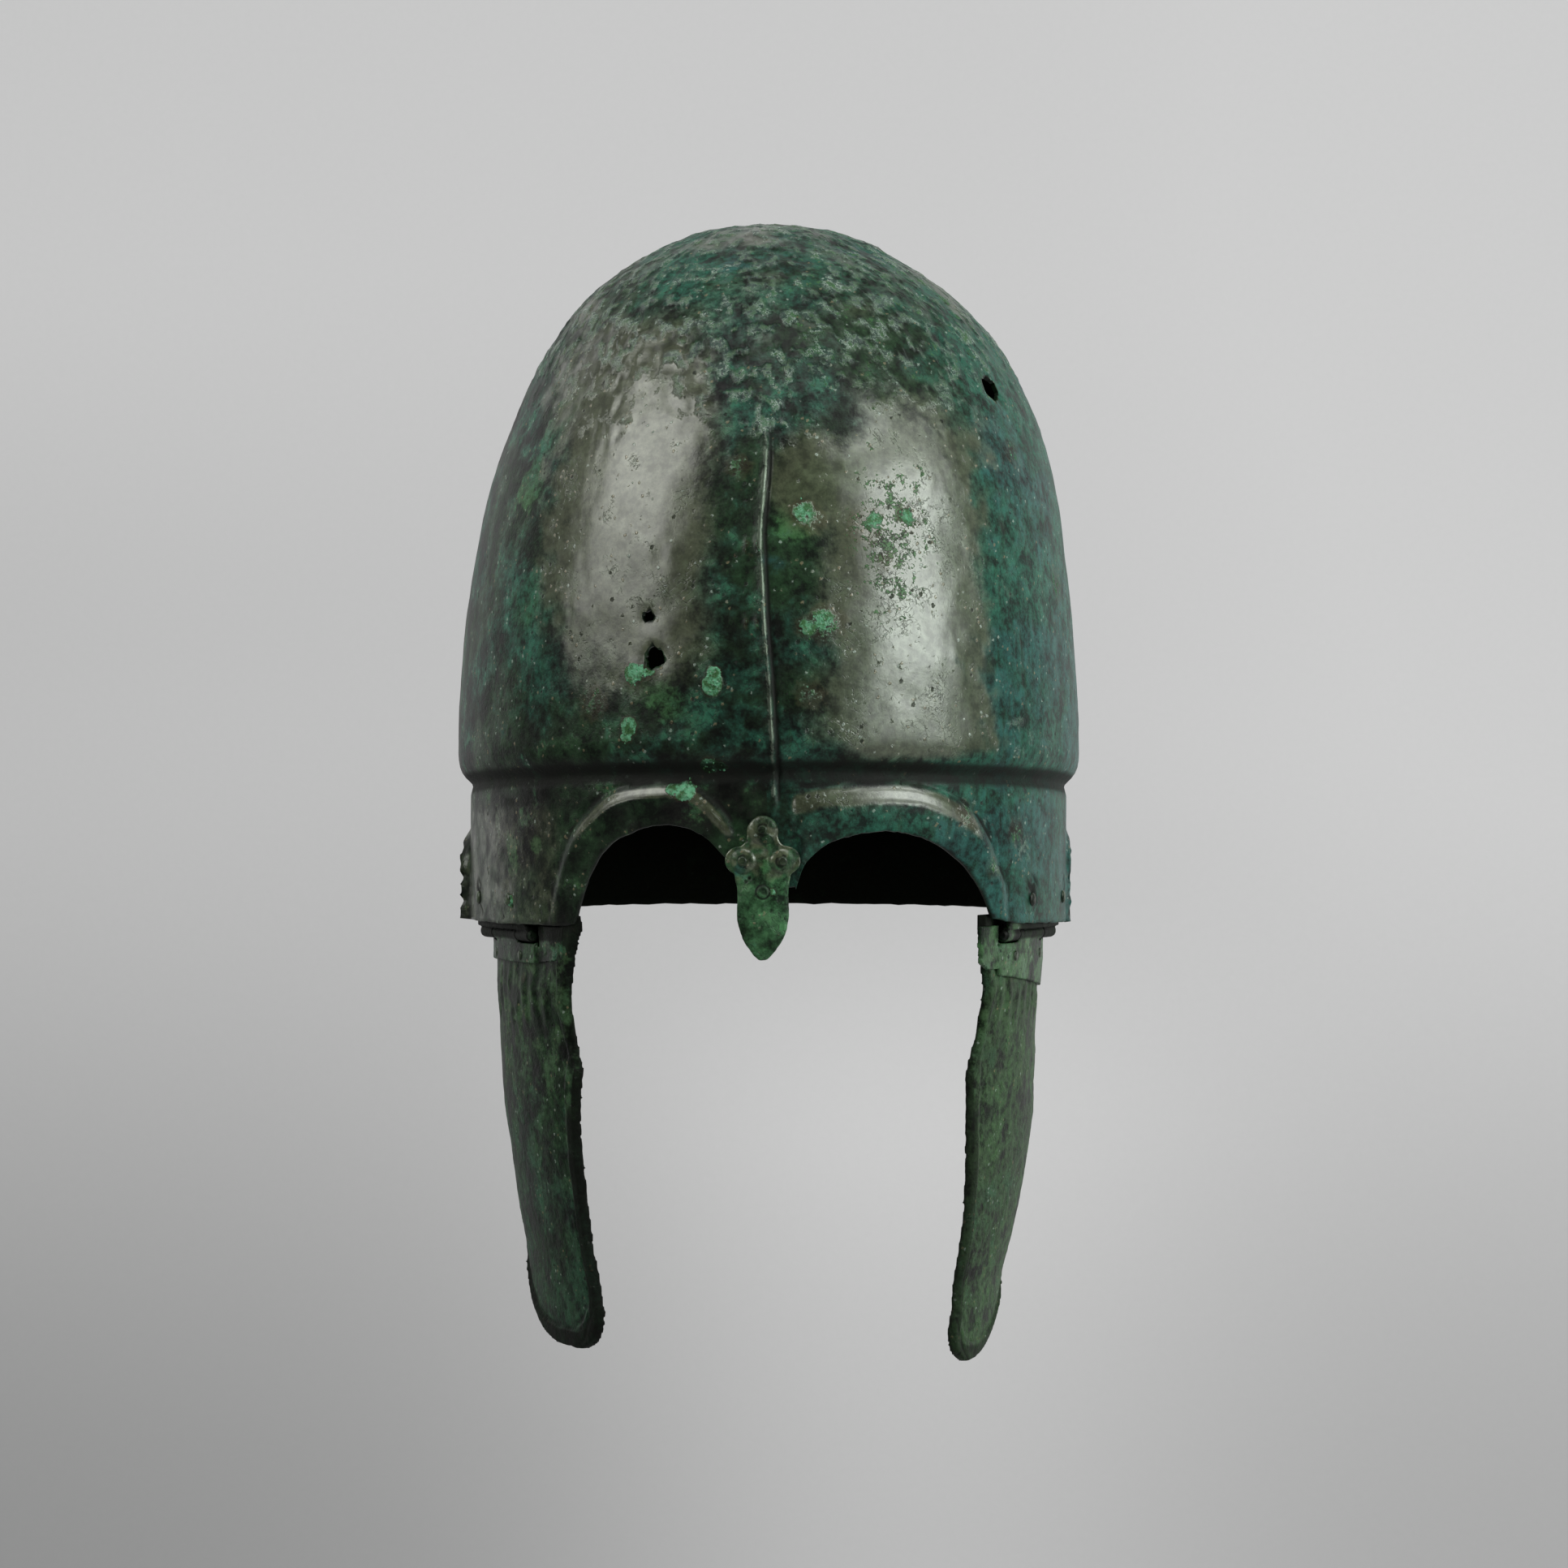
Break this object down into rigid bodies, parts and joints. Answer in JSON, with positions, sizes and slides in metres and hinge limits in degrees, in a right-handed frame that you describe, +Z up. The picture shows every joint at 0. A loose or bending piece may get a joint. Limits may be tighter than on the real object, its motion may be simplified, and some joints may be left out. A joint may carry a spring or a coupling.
{
  "type": "chalcidian helmet",
  "caption": "Ancient Greek bronze helmet with keeled bowl, brow arches, riveted nasal plate and hinged cheekpieces, under a dark green patina.",
  "frame": {"origin": "inside of the crown, where the top of a head or of a display head carries the helmet", "axes": "+Z up, the front faces -Y, +X is the wearer's left"},
  "size_m": [0.1958, 0.2374, 0.3492],
  "materials": {
    "bowl_bronze": "bronze under a dark green, glossy, pitted patina",
    "nasal_bronze": "bronze under a green and brown patina",
    "left_cheek_bronze": "bronze under a blue-green patina",
    "right_cheek_bronze": "bronze under a dark green patina",
    "hinge_bronze": "bronze under a dark green patina",
    "pin_bronze": "bronze, brown and dull",
    "rivet_bronze": "bronze, corroded, brown and green"
  },
  "bodies": {
    "helmet": {"bowl": "bowl_bronze", "nasal_guard": "nasal_bronze", "nasal_rivet_top": "rivet_bronze", "nasal_rivet_right": "rivet_bronze", "nasal_rivet_left": "rivet_bronze", "left_hinge_upper_leaf": "hinge_bronze", "left_hinge_pin": "pin_bronze", "left_bowl_rivet_rear": "rivet_bronze", "left_bowl_rivet_front": "rivet_bronze", "right_hinge_upper_leaf": "hinge_bronze", "right_hinge_pin": "pin_bronze", "right_bowl_rivet_rear": "rivet_bronze", "right_bowl_rivet_front": "rivet_bronze"},
    "left_cheek": {"left_cheekpiece": "left_cheek_bronze", "left_hinge_lower_leaf": "hinge_bronze", "left_cheek_rivet_rear": "rivet_bronze", "left_cheek_rivet_front": "rivet_bronze"},
    "right_cheek": {"right_cheekpiece": "right_cheek_bronze", "right_hinge_lower_leaf": "hinge_bronze", "right_cheek_rivet_rear": "rivet_bronze", "right_cheek_rivet_front": "rivet_bronze"}
  },
  "joints": [
    {"name": "left_cheek_hinge", "type": "hinge", "parent": "helmet", "child": "left_cheek", "pos_m": [0.07881, -0.044, -0.219], "axis": [-0.3445, -0.9388, 0], "range_deg": [-5, 90]},
    {"name": "right_cheek_hinge", "type": "hinge", "parent": "helmet", "child": "right_cheek", "pos_m": [-0.07881, -0.044, -0.219], "axis": [-0.3445, 0.9388, 0], "range_deg": [-5, 90]}
  ]
}
